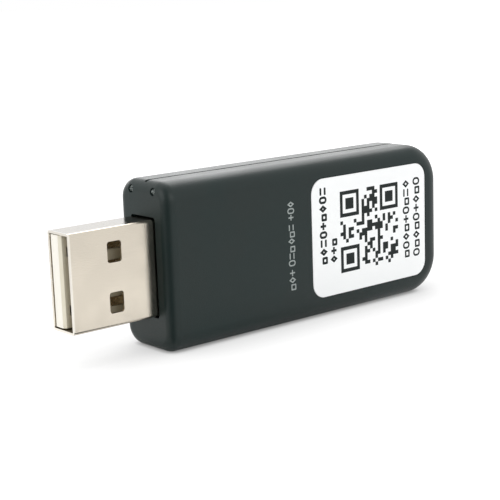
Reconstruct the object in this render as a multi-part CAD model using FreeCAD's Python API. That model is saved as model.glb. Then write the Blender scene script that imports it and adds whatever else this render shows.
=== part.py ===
import FreeCAD, Part
import math
import os

# A wifi data stick: a flat moulded case in two halves, a flat metal data plug out of one
# end, and inside it a circuit board with a radio module, four lamps and the power parts.
# Millimetres. X runs along the stick from the plug's tip to the far end, -Y is the
# label side, +Z is up and the stick stands on its long narrow side at z = 0.

Vector = FreeCAD.Vector

# Case
case_length = 48.0
case_depth = 10.0
case_height = 21.0
wall = 1.3
far_corner = 5.2
long_edge = 2.5
mouth_edge = 1.4
cavity_chamfer = 0.8
least_round = 0.2
join = 0.2
past = 1.0
touch = 1e-6

# Seam between the halves
seam_gap = 0.42
seam_depth = 0.3
seam_start = 0.7
lip_thickness = 0.55
lip_height = 0.8
lip_side_gap = 0.08
lip_end_gap = 0.1
catch_length = 4.0
catch_width = 0.4
catch_height = 0.12
catch_pitch = 13.0
catch_count = 3
catch_first = 10.0

# Mouth round the plug
mouth_gap = 0.22
mouth_corner = 0.4

# Moulding gate marks on the plug-end face
gate_radius = 0.52
gate_sides = 10
gate_depth = 0.3
gate_from_top = 1.15
gate_from_seam = 2.25

# Plug shell, folded from sheet
plug_width = 12.0
plug_thickness = 4.5
plug_reach = 12.0
plug_inside = 6.3
sheet = 0.3
fold_outer = 0.36
window_from_tip = 5.15
window_length = 2.0
window_width = 2.55
window_spacing = 6.1
window_corner = 0.35
fold_seam = 0.05
dovetail_first = 3.0
dovetail_pitch = 6.0
dovetail_count = 3
dovetail_neck = 1.6
dovetail_flare = 0.35
dovetail_height = 1.0
leg_length = 2.6
leg_width = 2.4
leg_corner = 0.6
leg_gap = 0.1

# Tongue and block inside the plug
tongue_recess = 0.15
tongue_side_gap = 0.15
tongue_back_gap = 0.15
tongue_cavity = 8.9
tongue_nose_length = 0.31
tongue_nose_height = 0.4
block_gap = 0.03

# Contacts
contact_width = 1.0
contact_thickness = 0.25
contact_sink = 0.03
contact_nose = 0.65
contact_corner = 0.25
groove_width = 1.25
power_groove_start = 1.0
data_groove_start = 2.0
pocket_length = 0.7
pocket_depth = 1.3
power_spacing = 7.0
data_spacing = 2.0
insert_gap = 0.02
tail_length = 2.0

# Circuit board and what holds it
board_thickness = 1.0
board_gap = 0.3
board_end_gap = 0.1
ear_gap = 0.4
ear_start = 0.5
pin_share = 0.24
pin_hole_gap = 0.1
pin_bore_gap = 0.05
pin_reach = 1.6
boss_sides = 6
boss_from_face = 3.8
rest_gap = 0.05
rib_width = 1.0
rib_reach = 0.9
rib_first = 12.0
rib_pitch = 10.5
rib_count = 3
cradle_width = 0.9
cradle_half = 4.6
cradle_first = 1.7
cradle_pitch = 2.6
cradle_count = 2

# Status lamps behind the label half
lamp_count = 4
lamp_pitch = 3.1
lamp_row = 19.5
lamp_length = 2.0
lamp_width = 1.25
lamp_base = 0.3
lamp_lens_length = 1.2
lamp_height = 0.8
cell_size = 2.4
baffle_wall = 0.6
light_skin = 0.5
light_window = 2.0

# Label
label_length = 21.45
label_margin = 2.6
label_from_face = 23.15
label_raise = 0.22
label_corner = 2.0
label_sheet = 0.12
label_sink = 0.03
label_gap = 0.1

# Radio module
module_end_gap = 2.4
module_side_gap = 1.7
module_board = 0.8
module_gap = 1.0
half_hole_radius = 0.4
half_hole_sides = 6
half_hole_pitch = 2.0
half_hole_count = 6
shield_side_gap = 1.4
shield_height = 2.1
shield_sheet = 0.2
shield_from_end = 0.8
radio_size = 5.0
radio_height = 0.85
store_length = 3.0
store_width = 2.0
store_height = 0.7
clock_length = 2.5
clock_width = 2.0
clock_height = 0.55
trace_width = 0.5
trace_gap = 0.9
trace_thickness = 0.05
trace_reach = 4.4
trace_turns = 4
trace_from_shield = 0.9
trace_from_edge = 0.7

# Chips with bent leads: long is along the rows of leads, wide is across them
controller_long = 6.5
controller_wide = 4.4
controller_tall = 1.0
controller_pitch = 0.65
controller_pairs = 10
controller_from_board = 5.8
driver_long = 4.9
driver_wide = 3.9
driver_tall = 1.4
driver_pitch = 1.27
driver_pairs = 4
driver_from_board = 15.4
driver_drop = 4.2
memory_long = 4.9
memory_wide = 3.9
memory_tall = 1.4
memory_pitch = 1.27
memory_pairs = 4
memory_from_board = 15.4
memory_raise = 4.2
guard_long = 2.9
guard_wide = 1.6
guard_tall = 1.0
guard_pitch = 0.95
guard_pairs = 3
guard_from_board = 3.0
guard_drop = 3.0
lead_sheet = 0.15
lead_span = 1.0
guard_lead_span = 0.6
lead_share = 0.45
lead_width = 0.45
stand_off = 0.1

# Power parts on the rear of the board
regulator_long = 6.5
regulator_wide = 3.5
regulator_tall = 1.6
regulator_from_board = 8.8
regulator_pitch = 2.3
regulator_lead = 0.7
regulator_tab = 3.0
coil_size = 4.0
coil_height = 2.0
coil_chamfer = 0.7
coil_from_board = 22.8
coil_raise = 4.0
tank_length = 3.5
tank_width = 2.8
tank_height = 1.9
tank_from_board = 22.8
tank_drop = 1.2
tank_pitch = 4.6
tank_count = 2
fuse_length = 3.2
fuse_width = 4.5
fuse_height = 0.8
fuse_from_board = 3.0
fuse_raise = 2.6
crystal_length = 5.0
crystal_width = 3.2
crystal_height = 1.0
crystal_rim = 0.35
crystal_from_board = 5.8
crystal_from_edge = 2.9

# Chip capacitors and resistors
chip_length = 1.6
chip_width = 0.8
capacitor_height = 0.8
resistor_height = 0.45
chip_pitch = 1.5
front_chip_count = 5
front_chip_start = 0.9
front_chip_pitch = 1.3
rear_chip_count = 7
rear_chip_row = 28.0
front_chip_from_edge = 2.6
resistor_gap = 0.3

# Levels and stations that follow from the sizes above
tip = -(case_length + plug_reach) / 2
near_face = tip + plug_reach
far_face = near_face + case_length
middle = case_height / 2
outer_half = case_depth / 2
inner_half = outer_half - wall
sheet_inner = plug_thickness / 2 - sheet
shell_end = near_face + plug_inside
leg_end = shell_end + leg_length
contact_front = contact_sink
board_front = contact_front + contact_thickness
board_rear = board_front + board_thickness
board_near = shell_end + board_end_gap
lamp_x = near_face + lamp_row
baffle_half = cell_size / 2 + baffle_wall
board_low = wall + board_gap
board_high = case_height - board_low
ear_width = board_high - middle - plug_width / 2 - ear_gap
pin_radius = pin_share * ear_width
boss_radius = ear_width / 2
boss_x = near_face + boss_from_face
boss_offset = plug_width / 2 + ear_gap + ear_width / 2
label_height = case_height - 2 * label_margin
tongue_width = plug_width - 2 * sheet - 2 * tongue_side_gap
module_near = lamp_x + baffle_half + module_gap
module_length = far_face - wall - module_end_gap - module_near
module_width = case_height - 2 * wall - 2 * module_side_gap
trace_length = trace_turns * (trace_gap + trace_width)
shield_room = module_length - shield_from_end - trace_from_shield - trace_from_edge
shield_length = shield_room - trace_length
shield_width = module_width - 2 * shield_side_gap
shield_middle = module_near + shield_from_end + shield_length / 2
beyond = case_length


def block(x0, x1, y0, y1, z0, z1):
    """A box between two corners."""
    return Part.makeBox(x1 - x0, y1 - y0, z1 - z0, Vector(x0, y0, z0))


def centred(x, z, length, width, y0, y1):
    """A box about a point of the board, length along X and width along Z."""
    return block(x - length / 2, x + length / 2, y0, y1, z - width / 2, z + width / 2)


def rod(x, z, radius, y0, y1):
    """A round bar along Y."""
    return Part.makeCylinder(radius, y1 - y0, Vector(x, y0, z), Vector(0, 1, 0))


def post(centre, radius, sides, way):
    """A post with flat sides that starts at centre and runs the way given, radius to its corners."""
    across = Vector(0, 0, 1)
    other = way.cross(across).normalize()
    corners = []
    for index in range(sides):
        turn = 2 * math.pi * (index + 0.5) / sides
        corners.append(centre + across * (radius * math.cos(turn)) + other * (radius * math.sin(turn)))
    return outline_face(corners).extrude(way)


def rounded(shape, radius, wanted):
    """The shape with the wanted edges rounded, or as it is where the radius is nearly nothing."""
    if radius < least_round:
        return shape
    return shape.makeFillet(radius, [edge for edge in shape.Edges if wanted(edge)])


def runs_along_y(edge):
    box = edge.BoundBox
    return box.YLength > touch and box.XLength < touch and box.ZLength < touch


def runs_along_x(edge):
    box = edge.BoundBox
    return box.XLength > touch and box.YLength < touch and box.ZLength < touch


def outline_face(corners):
    """A flat face inside a closed line of straight runs."""
    return Part.Face(Part.makePolygon(corners + corners[:1]))


# Case

def plan_block(inset, y0, y1):
    """The case's outline seen from the label side, drawn in by inset and carried along Y."""
    near, far = near_face + inset, far_face - inset
    body = block(near, far, y0, y1, inset, case_height - inset)
    at_near = lambda edge: runs_along_y(edge) and edge.BoundBox.XMax < near + touch
    at_far = lambda edge: runs_along_y(edge) and edge.BoundBox.XMin > far - touch
    body = rounded(body, mouth_edge - inset, at_near)
    return rounded(body, far_corner - inset, at_far)


def case_solid():
    """The outside of the whole case: soft long edges, a soft far end and a flat plug end."""
    start = near_face - long_edge
    body = block(start, far_face, -outer_half, outer_half, 0, case_height)
    at_far = lambda edge: runs_along_y(edge) and edge.BoundBox.XMin > far_face - touch
    body = rounded(body, far_corner, at_far)
    on_faces = lambda edge: edge.BoundBox.YLength < touch and edge.BoundBox.XMax > start + touch
    body = rounded(body, long_edge, on_faces)
    body = body.cut(block(start - past, near_face, -outer_half, outer_half, 0, case_height))
    return rounded(body, mouth_edge, lambda edge: edge.BoundBox.XMax < near_face + touch)


def cavity_solid():
    """The room inside the case, with its long edges cut back so that the wall stays even."""
    room = plan_block(wall, -inner_half, inner_half)
    on_faces = [edge for edge in room.Edges if edge.BoundBox.YLength < touch]
    return room.makeChamfer(cavity_chamfer, on_faces)


def ring(outer_inset, inner_inset, y0, y1):
    """A band that follows the case's outline between two insets."""
    return plan_block(outer_inset, y0, y1).cut(plan_block(inner_inset, y0, y1))


def plug_passage(clearance, x0, x1):
    """The straight way in for the plug."""
    half_y = plug_thickness / 2 + clearance
    half_z = plug_width / 2 + clearance
    way = block(x0, x1, -half_y, half_y, middle - half_z, middle + half_z)
    return rounded(way, mouth_corner, runs_along_x)


def half_case(side):
    """One hollow half with its mouth, seam groove and gate mark: side -1 has the label."""
    low, high = sorted((0, side * outer_half))
    half = case_solid().cut(cavity_solid())
    half = half.common(block(near_face, far_face, low, high, 0, case_height))
    half = half.cut(plug_passage(mouth_gap, near_face - past, near_face + wall + past))
    groove = block(near_face + seam_start, far_face, -seam_gap / 2, seam_gap / 2, 0, case_height)
    half = half.cut(groove.cut(plan_block(seam_depth, -seam_gap / 2, seam_gap / 2)))
    start = Vector(near_face - gate_depth, side * gate_from_seam, case_height - gate_from_top)
    return half.cut(post(start, gate_radius, gate_sides, Vector(2 * gate_depth, 0, 0)))


def lip_gate(clearance):
    """What the lip leaves open where the plug passes through it."""
    half = plug_width / 2 + mouth_gap + clearance
    return block(near_face, near_face + 2 * wall, -outer_half, outer_half, middle - half, middle + half)


def catches(inset, height):
    """Small ridges along both long sides of the lip that click into the label half."""
    ridges = []
    for index in range(catch_count):
        x = near_face + catch_first + index * catch_pitch
        for side in (-1, 1):
            edge = middle + side * (middle - inset)
            tip_z = edge + side * height
            points = [
                Vector(x, -lip_height / 2 - catch_width / 2, edge),
                Vector(x, -lip_height / 2, tip_z),
                Vector(x, -lip_height / 2 + catch_width / 2, edge),
                Vector(x, -lip_height / 2, edge - side * join),
            ]
            ridges.append(outline_face(points).extrude(Vector(catch_length, 0, 0)))
    return ridges


def edge_ribs(y0, y1, start_inset):
    """Short ribs on the long sides that the board's edge bears on."""
    end_inset = wall + rib_reach
    ribs = []
    for index in range(rib_count):
        x = near_face + rib_first + index * rib_pitch
        ribs.append(block(x, x + rib_width, y0, y1, start_inset, end_inset))
        ribs.append(block(x, x + rib_width, y0, y1, case_height - end_inset, case_height - start_inset))
    return ribs


def cradles(side):
    """Cross ribs under the plug shell, inside the mouth."""
    ribs = []
    near, far = sorted((side * (plug_thickness / 2 + rest_gap), side * (inner_half + join)))
    for index in range(cradle_count):
        x = near_face + cradle_first + index * cradle_pitch
        ribs.append(block(x, x + cradle_width, near, far, middle - cradle_half, middle + cradle_half))
    return ribs


def boss_positions():
    return [middle - boss_offset, middle + boss_offset]


def boss(z, radius, y0, y1):
    """A six-sided post along Y at a pin's place, radius to its flats."""
    reach = radius / math.cos(math.pi / boss_sides)
    return post(Vector(boss_x, y0, z), reach, boss_sides, Vector(0, y1 - y0, 0))


def lamp_positions():
    first = middle - lamp_pitch * (lamp_count - 1) / 2
    return [first + index * lamp_pitch for index in range(lamp_count)]


def label_outline(grow, y0, y1):
    x0 = near_face + label_from_face - grow
    x1 = near_face + label_from_face + label_length + grow
    z0 = middle + label_raise - label_height / 2 - grow
    z1 = middle + label_raise + label_height / 2 + grow
    return rounded(block(x0, x1, y0, y1, z0, z1), label_corner + grow, runs_along_y)


def make_front_shell():
    """The label half: rebated rim, bosses, ribs, plug cradle, thin lamp windows, label recess."""
    rebate_inset = wall - lip_thickness - lip_side_gap
    rebate_depth = lip_height + lip_end_gap
    shell = half_case(-1)
    shell = shell.cut(ring(rebate_inset, wall, -rebate_depth, 0))
    shell = shell.cut(Part.makeCompound(catches(rebate_inset, catch_height)))
    additions = edge_ribs(-inner_half - join, -rebate_depth, wall - join)
    additions += edge_ribs(-inner_half - join, board_front - rest_gap, wall + lip_side_gap)
    additions += cradles(-1)
    for z in boss_positions():
        additions.append(boss(z, boss_radius, -inner_half - join, board_front - rest_gap))
    shell = shell.fuse(additions).removeSplitter()
    for z in boss_positions():
        shell = shell.cut(boss(z, pin_radius + pin_bore_gap, -pin_reach - lip_end_gap, outer_half))
    skin, inside = -outer_half + light_skin, -inner_half + join
    for z in lamp_positions():
        shell = shell.cut(centred(lamp_x, z, light_window, light_window, skin, inside))
    seat = -outer_half + label_sheet + label_sink
    return shell.cut(label_outline(label_gap, -outer_half - past, seat))


def make_rear_shell():
    """The rear half: plain outside, with the lip, two pins on bosses, ribs and the plug cradle."""
    shell = half_case(1)
    lip_inset = wall - lip_thickness
    lip = ring(lip_inset, wall, -lip_height, join).cut(lip_gate(lip_side_gap))
    additions = [lip] + catches(lip_inset, catch_height)
    additions += edge_ribs(board_rear + rest_gap, inner_half + join, wall - join)
    additions += cradles(1)
    for z in boss_positions():
        additions.append(boss(z, boss_radius, board_rear, inner_half + join))
        additions.append(rod(boss_x, z, pin_radius, -pin_reach, board_rear + join))
    return shell.fuse(additions).removeSplitter()


# Plug

def make_plug_shell():
    """Sheet folded into a flat tube, closed by a dovetailed seam behind the tongue."""
    half_y, half_z = plug_thickness / 2, plug_width / 2
    tube = block(tip, shell_end, -half_y, half_y, middle - half_z, middle + half_z)
    tube = rounded(tube, fold_outer, runs_along_x)
    low, high = middle - half_z + sheet, middle + half_z - sheet
    inside = block(tip - past, shell_end + past, -sheet_inner, sheet_inner, low, high)
    tube = tube.cut(rounded(inside, fold_outer - sheet, runs_along_x))
    leg_y0 = (board_front + board_rear - leg_width) / 2
    at_end = lambda edge: edge.BoundBox.XMin > leg_end - touch and edge.BoundBox.ZLength > touch
    for side in (-1, 1):
        z = middle + side * (half_z - sheet / 2)
        leg = block(shell_end - join, leg_end, leg_y0, leg_y0 + leg_width, z - sheet / 2, z + sheet / 2)
        tube = tube.fuse(leg.makeChamfer(leg_corner, [edge for edge in leg.Edges if at_end(edge)]))
    for side in (-1, 1):
        x0 = tip + window_from_tip
        z0 = middle + side * window_spacing / 2 - window_width / 2
        window = block(x0, x0 + window_length, -outer_half, outer_half, z0, z0 + window_width)
        tube = tube.cut(rounded(window, window_corner, runs_along_y))
    return tube.cut(fold_line()).removeSplitter()


def fold_line():
    """The narrow gap where the sheet's two edges meet, with dovetails that lock them."""
    path = [(tip - past, middle)]
    for index in range(dovetail_count):
        x = tip + dovetail_first + index * dovetail_pitch
        path.append((x, middle))
        path.append((x - dovetail_flare, middle + dovetail_height))
        path.append((x + dovetail_neck + dovetail_flare, middle + dovetail_height))
        path.append((x + dovetail_neck, middle))
    path.append((shell_end + past, middle))
    below = middle - plug_width
    outline = path + [(shell_end + past, below), (tip - past, below)]
    y0 = sheet_inner - join
    face = outline_face([Vector(x, y0, z) for x, z in outline])
    wider = face.makeOffset2D(fold_seam, 2)
    gap = wider.cut(face).extrude(Vector(0, sheet + 2 * join, 0))
    near_line = middle - dovetail_height
    return gap.common(block(tip - past, shell_end + past, y0, outer_half, near_line, case_height))


def contact_rows():
    """Name, offset from the middle and groove start of the four contacts."""
    return [
        ("contact_ground", -power_spacing / 2, power_groove_start),
        ("contact_data_plus", -data_spacing / 2, data_groove_start),
        ("contact_data_minus", data_spacing / 2, data_groove_start),
        ("contact_power", power_spacing / 2, power_groove_start),
    ]


def make_plug_tongue():
    """White tongue with a chamfered nose, four grooves that start in deep pockets, and its block."""
    block_start = tip + tongue_cavity
    nose = tip + tongue_recess
    half_block = plug_width / 2 - sheet - block_gap
    full = sheet_inner - block_gap
    back = sheet_inner - tongue_back_gap
    root = block_start + join
    side_view = [
        (nose, back),
        (nose, tongue_nose_height),
        (nose + tongue_nose_length, 0),
        (root, 0),
        (root, back),
    ]
    points = [Vector(x, y, middle - tongue_width / 2) for x, y in side_view]
    tongue = outline_face(points).extrude(Vector(0, 0, tongue_width))
    body = block(block_start, shell_end, -full, full, middle - half_block, middle + half_block)
    body = rounded(body, fold_outer - sheet, runs_along_x)
    body = body.fuse(tongue)
    for _, offset, start in contact_rows():
        z = middle + offset
        half = groove_width / 2
        groove = block(tip + start, block_start, -join, board_front, z - half, z + half)
        pocket_end = tip + start + pocket_length
        pocket = block(tip + start, pocket_end, -join, pocket_depth, z - half, z + half)
        half = contact_width / 2 + insert_gap
        top = contact_front - insert_gap
        slot = block(block_start - join, shell_end + past, top, board_front, z - half, z + half)
        body = body.cut([groove, pocket, slot])
    return body.removeSplitter()


def make_contact(offset, start):
    """A flat spring-brass strip with a cut-back nose, and a tail that lies on the board."""
    z = middle + offset
    x0 = tip + start + contact_nose
    half = contact_width / 2
    strip = block(x0, shell_end + tail_length, contact_front, board_front, z - half, z + half)
    at_nose = [edge for edge in strip.Edges if runs_along_y(edge) and edge.BoundBox.XMax < x0 + touch]
    return strip.makeChamfer(contact_corner, at_nose)


# Circuit board

def make_circuit_board():
    """The main board: rounded far corners, a notch for the plug, leg slots and two pin holes."""
    board = plan_block(board_low, board_front, board_rear)
    ears = near_face + wall + ear_start
    notch = plug_width / 2 + ear_gap
    board = board.cut(block(near_face, ears, -beyond, beyond, 0, case_height))
    board = board.cut(block(near_face, board_near, -beyond, beyond, middle - notch, middle + notch))
    slot_end = leg_end + leg_gap
    for side in (-1, 1):
        z = middle + side * (plug_width / 2 - sheet / 2)
        half = sheet / 2 + leg_gap
        board = board.cut(block(board_near - past, slot_end, -beyond, beyond, z - half, z + half))
    for z in boss_positions():
        board = board.cut(rod(boss_x, z, pin_radius + pin_hole_gap, -beyond, beyond))
    return board.removeSplitter()


def on_front(height):
    """The span in Y of something that stands on the board's label side."""
    return board_front - height, board_front


def on_rear(height):
    return board_rear, board_rear + height


def make_light_baffle():
    """A black frame with one cell for each lamp, from the board to the label half."""
    y0, y1 = -inner_half + rest_gap, board_front
    length = lamp_pitch * (lamp_count - 1) + cell_size + 2 * baffle_wall
    frame = centred(lamp_x, middle, 2 * baffle_half, length, y0, y1)
    for z in lamp_positions():
        frame = frame.cut(centred(lamp_x, z, cell_size, cell_size, y0 - past, y1 + past))
    return frame


def make_lamp(z):
    """A surface lamp: a flat base with a clear lens on it."""
    base = centred(lamp_x, z, lamp_width, lamp_length, *on_front(lamp_base))
    lens = centred(lamp_x, z, lamp_width, lamp_lens_length, *on_front(lamp_height))
    return base.fuse(lens).removeSplitter()


def make_label():
    y0 = -outer_half + label_sink
    return label_outline(0, y0, y0 + label_sheet)


# Radio module

def make_module_board():
    """The module's own small board, with half holes along both long edges."""
    x = module_near + module_length / 2
    board = centred(x, middle, module_length, module_width, *on_front(module_board))
    for index in range(half_hole_count):
        x = module_near + (index + 1) * half_hole_pitch
        for side in (-1, 1):
            start = Vector(x, -outer_half, middle + side * module_width / 2)
            board = board.cut(post(start, half_hole_radius, half_hole_sides, Vector(0, case_depth, 0)))
    return board


def make_shield_can():
    """A folded tin lid over the radio chips, open towards the module's board."""
    face = board_front - module_board
    can = centred(shield_middle, middle, shield_length, shield_width, face - shield_height, face)
    inner_length, inner_width = shield_length - 2 * shield_sheet, shield_width - 2 * shield_sheet
    inner_top = face - shield_height + shield_sheet
    hollow = centred(shield_middle, middle, inner_length, inner_width, inner_top, face + past)
    return can.cut(hollow)


def on_module(height):
    return board_front - module_board - height, board_front - module_board


def make_module_antenna():
    """A copper track that folds to and fro across the module's free end."""
    half = trace_width / 2
    start = module_near + shield_from_end + shield_length + trace_from_shield
    low, high = middle - trace_reach, middle + trace_reach
    track = [centred(start, middle, trace_width, 2 * trace_reach, *on_module(trace_thickness))]
    for index in range(trace_turns):
        x0 = start + index * (trace_gap + trace_width)
        x1 = x0 + trace_gap + trace_width
        z = high if index % 2 == 0 else low
        reach = (low, z + half) if index % 2 == 0 else (z - half, high)
        track.append(block(x0 - half, x1 + half, *on_module(trace_thickness), z - half, z + half))
        track.append(block(x1 - half, x1 + half, *on_module(trace_thickness), *reach))
    return track[0].fuse(track[1:]).removeSplitter()


# Chips with leads

def gull_wing(start, side, width, span, face, away, tall):
    """One bent lead that leaves a body's side at start (x, z), steps down and lies on the board."""
    x, z = start
    level = face + away * (stand_off + tall * lead_share)
    foot = face + away * lead_sheet
    rise = level + away * lead_sheet
    bend = side * span / 2
    points = [
        (x, level),
        (x + bend - side * lead_sheet, level),
        (x + bend, face),
        (x + side * span, face),
        (x + side * span, foot),
        (x + bend + side * lead_sheet, foot),
        (x + bend, rise),
        (x, rise),
    ]
    corners = [Vector(px, py, z - width / 2) for px, py in points]
    return outline_face(corners).extrude(Vector(0, 0, width))


def moulded_body(x, z, long, wide, tall, face, away):
    """A chip's body, a little off the board: away points out of the board's face."""
    near, far = sorted((face + away * stand_off, face + away * (stand_off + tall)))
    return centred(x, z, wide, long, near, far)


def leaded_chip(x, z, long, wide, tall, pitch, pairs, span, face, away):
    """Body and leads of a chip with a row of leads along each long side."""
    leads = []
    for index in range(pairs):
        lead_z = z + (index - (pairs - 1) / 2) * pitch
        for side in (-1, 1):
            start = x + side * wide / 2, lead_z
            leads.append(gull_wing(start, side, pitch * lead_width, span, face, away, tall))
    return moulded_body(x, z, long, wide, tall, face, away), Part.makeCompound(leads)


def make_controller():
    x, z = board_near + controller_from_board, middle
    size = controller_long, controller_wide, controller_tall
    return leaded_chip(x, z, *size, controller_pitch, controller_pairs, lead_span, board_front, -1)


def make_line_driver():
    x, z = board_near + driver_from_board, middle - driver_drop
    size = driver_long, driver_wide, driver_tall
    return leaded_chip(x, z, *size, driver_pitch, driver_pairs, lead_span, board_rear, 1)


def make_memory():
    x, z = board_near + memory_from_board, middle + memory_raise
    size = memory_long, memory_wide, memory_tall
    return leaded_chip(x, z, *size, memory_pitch, memory_pairs, lead_span, board_rear, 1)


def make_surge_guard():
    x, z = board_near + guard_from_board, middle - guard_drop
    size = guard_long, guard_wide, guard_tall
    return leaded_chip(x, z, *size, guard_pitch, guard_pairs, guard_lead_span, board_rear, 1)


def make_regulator():
    """A power regulator: three leads on one side and a wide cooling tab on the other."""
    x, z = board_near + regulator_from_board, middle
    tall = regulator_tall
    half = regulator_wide / 2
    leads = [gull_wing((x + half, z), 1, regulator_tab, lead_span, board_rear, 1, tall)]
    for index in (-1, 0, 1):
        start = x - half, z + index * regulator_pitch
        leads.append(gull_wing(start, -1, regulator_lead, lead_span, board_rear, 1, tall))
    body = moulded_body(x, z, regulator_long, regulator_wide, tall, board_rear, 1)
    return body, Part.makeCompound(leads)


# Parts soldered flat to the board

def make_power_coil():
    """A shielded coil: a ferrite block with its four corners cut off."""
    x, z = board_near + coil_from_board, middle + coil_raise
    body = centred(x, z, coil_size, coil_size, *on_rear(coil_height))
    return body.makeChamfer(coil_chamfer, [edge for edge in body.Edges if runs_along_y(edge)])


def make_tank_capacitors():
    """Two moulded capacitors that smooth the supply."""
    x = board_near + tank_from_board
    solids = []
    for index in range(tank_count):
        z = middle - tank_drop - index * tank_pitch
        solids.append(centred(x, z, tank_length, tank_width, *on_rear(tank_height)))
    return Part.makeCompound(solids)


def make_input_fuse():
    x, z = board_near + fuse_from_board, middle + fuse_raise
    return centred(x, z, fuse_length, fuse_width, *on_rear(fuse_height))


def make_clock_crystal():
    """The controller's crystal: a ceramic tray with a metal lid set in from its rim."""
    x, z = board_near + crystal_from_board, board_high - crystal_from_edge
    tray = centred(x, z, crystal_length, crystal_width, *on_front(crystal_height / 2))
    lid_length, lid_width = crystal_length - 2 * crystal_rim, crystal_width - 2 * crystal_rim
    lid = centred(x, z, lid_length, lid_width, *on_front(crystal_height))
    return tray.fuse(lid).removeSplitter()


def make_ceramic_capacitors():
    """Chip capacitors in one row on each side of the board."""
    solids = []
    z = board_low + front_chip_from_edge
    for index in range(front_chip_count):
        x = leg_end + front_chip_start + index * front_chip_pitch
        solids.append(centred(x, z, chip_width, chip_length, *on_front(capacitor_height)))
    x = board_near + rear_chip_row
    for index in range(rear_chip_count):
        z = middle + (index - (rear_chip_count - 1) / 2) * chip_pitch
        solids.append(centred(x, z, chip_length, chip_width, *on_rear(capacitor_height)))
    return Part.makeCompound(solids)


def make_lamp_resistors():
    """One chip resistor beside each lamp, outside the baffle."""
    x = lamp_x - baffle_half - resistor_gap - chip_length / 2
    return Part.makeCompound(
        [centred(x, z, chip_length, chip_width, *on_front(resistor_height)) for z in lamp_positions()]
    )


def radio_spot(side, length, width, height):
    """A part under the shield: in the middle, or midway from the radio chip to a long side."""
    across = (radio_size + shield_width - 2 * shield_sheet) / 4
    return centred(shield_middle, middle + side * across, length, width, *on_module(height))


def make_parts():
    """Every node of the stick by name."""
    parts = {
        "front_shell": make_front_shell(),
        "rear_shell": make_rear_shell(),
        "label": make_label(),
        "plug_shell": make_plug_shell(),
        "plug_tongue": make_plug_tongue(),
        "circuit_board": make_circuit_board(),
        "light_baffle": make_light_baffle(),
        "module_board": make_module_board(),
        "module_shield": make_shield_can(),
        "module_antenna": make_module_antenna(),
        "radio_chip": radio_spot(0, radio_size, radio_size, radio_height),
        "radio_memory": radio_spot(1, store_length, store_width, store_height),
        "radio_crystal": radio_spot(-1, clock_length, clock_width, clock_height),
        "power_coil": make_power_coil(),
        "tank_capacitors": make_tank_capacitors(),
        "input_fuse": make_input_fuse(),
        "clock_crystal": make_clock_crystal(),
        "ceramic_capacitors": make_ceramic_capacitors(),
        "lamp_resistors": make_lamp_resistors(),
    }
    for name, offset, start in contact_rows():
        parts[name] = make_contact(offset, start)
    for index, z in enumerate(lamp_positions()):
        parts["status_lamp_%d" % (index + 1)] = make_lamp(z)
    parts["controller_chip"], parts["controller_leads"] = make_controller()
    parts["driver_chip"], parts["driver_leads"] = make_line_driver()
    parts["memory_chip"], parts["memory_leads"] = make_memory()
    parts["surge_guard"], parts["surge_guard_leads"] = make_surge_guard()
    parts["regulator_chip"], parts["regulator_leads"] = make_regulator()
    return parts


def main():
    os.makedirs("parts", exist_ok=True)
    for name, shape in make_parts().items():
        shape.exportStep("parts/%s.step" % name)
        print(name, len(shape.Solids), shape.isValid(), round(shape.Volume, 3))


main()
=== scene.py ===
"""Finish of a wifi data stick: a dark case in two halves, a metal data plug and a printed label.

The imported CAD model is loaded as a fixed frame. Its nodes get their materials here, and the thin
things that lie on them are built as meshes: the label's print, the lamp marks and the gate stubs.
"""

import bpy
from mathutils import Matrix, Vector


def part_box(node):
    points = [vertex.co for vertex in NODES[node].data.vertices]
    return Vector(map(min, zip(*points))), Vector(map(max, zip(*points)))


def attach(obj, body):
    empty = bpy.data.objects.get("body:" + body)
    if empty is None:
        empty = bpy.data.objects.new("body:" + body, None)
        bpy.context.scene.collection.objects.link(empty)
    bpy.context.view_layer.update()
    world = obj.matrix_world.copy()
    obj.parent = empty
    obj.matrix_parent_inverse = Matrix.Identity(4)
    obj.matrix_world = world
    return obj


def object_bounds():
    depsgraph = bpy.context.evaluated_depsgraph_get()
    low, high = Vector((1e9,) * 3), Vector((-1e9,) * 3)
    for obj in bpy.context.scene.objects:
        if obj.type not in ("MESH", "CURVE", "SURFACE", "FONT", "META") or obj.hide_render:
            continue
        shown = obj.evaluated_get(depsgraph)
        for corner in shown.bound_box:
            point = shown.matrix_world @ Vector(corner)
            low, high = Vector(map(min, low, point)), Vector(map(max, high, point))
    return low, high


bl_info = {
    "name": "Wifi data stick finish",
    "version": (1, 0, 0),
    "blender": (4, 5, 0),
    "location": "View3D > Sidebar > Data stick",
    "description": "Materials, print and studio for a wifi data stick",
    "category": "Object",
}

import math
import random
import bmesh
import bpy
from mathutils import Matrix, Vector

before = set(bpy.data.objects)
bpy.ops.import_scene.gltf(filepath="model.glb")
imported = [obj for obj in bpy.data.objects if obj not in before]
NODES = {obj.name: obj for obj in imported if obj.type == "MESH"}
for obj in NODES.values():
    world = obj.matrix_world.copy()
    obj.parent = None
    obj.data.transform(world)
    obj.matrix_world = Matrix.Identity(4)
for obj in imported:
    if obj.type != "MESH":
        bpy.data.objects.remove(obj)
CAD_LOW, CAD_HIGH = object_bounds()
BODY = "root"
MM = 0.001
LABEL_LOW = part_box("label")[0]
CASE_LOW, CASE_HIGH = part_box("front_shell")
MIDDLE = (CASE_LOW.z + CASE_HIGH.z) / 2
MOUTH = CASE_LOW.x
CORNERS = ((1, 1), (-1, 1), (-1, -1), (1, -1))


# Sizes and colours that a user would change

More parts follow.
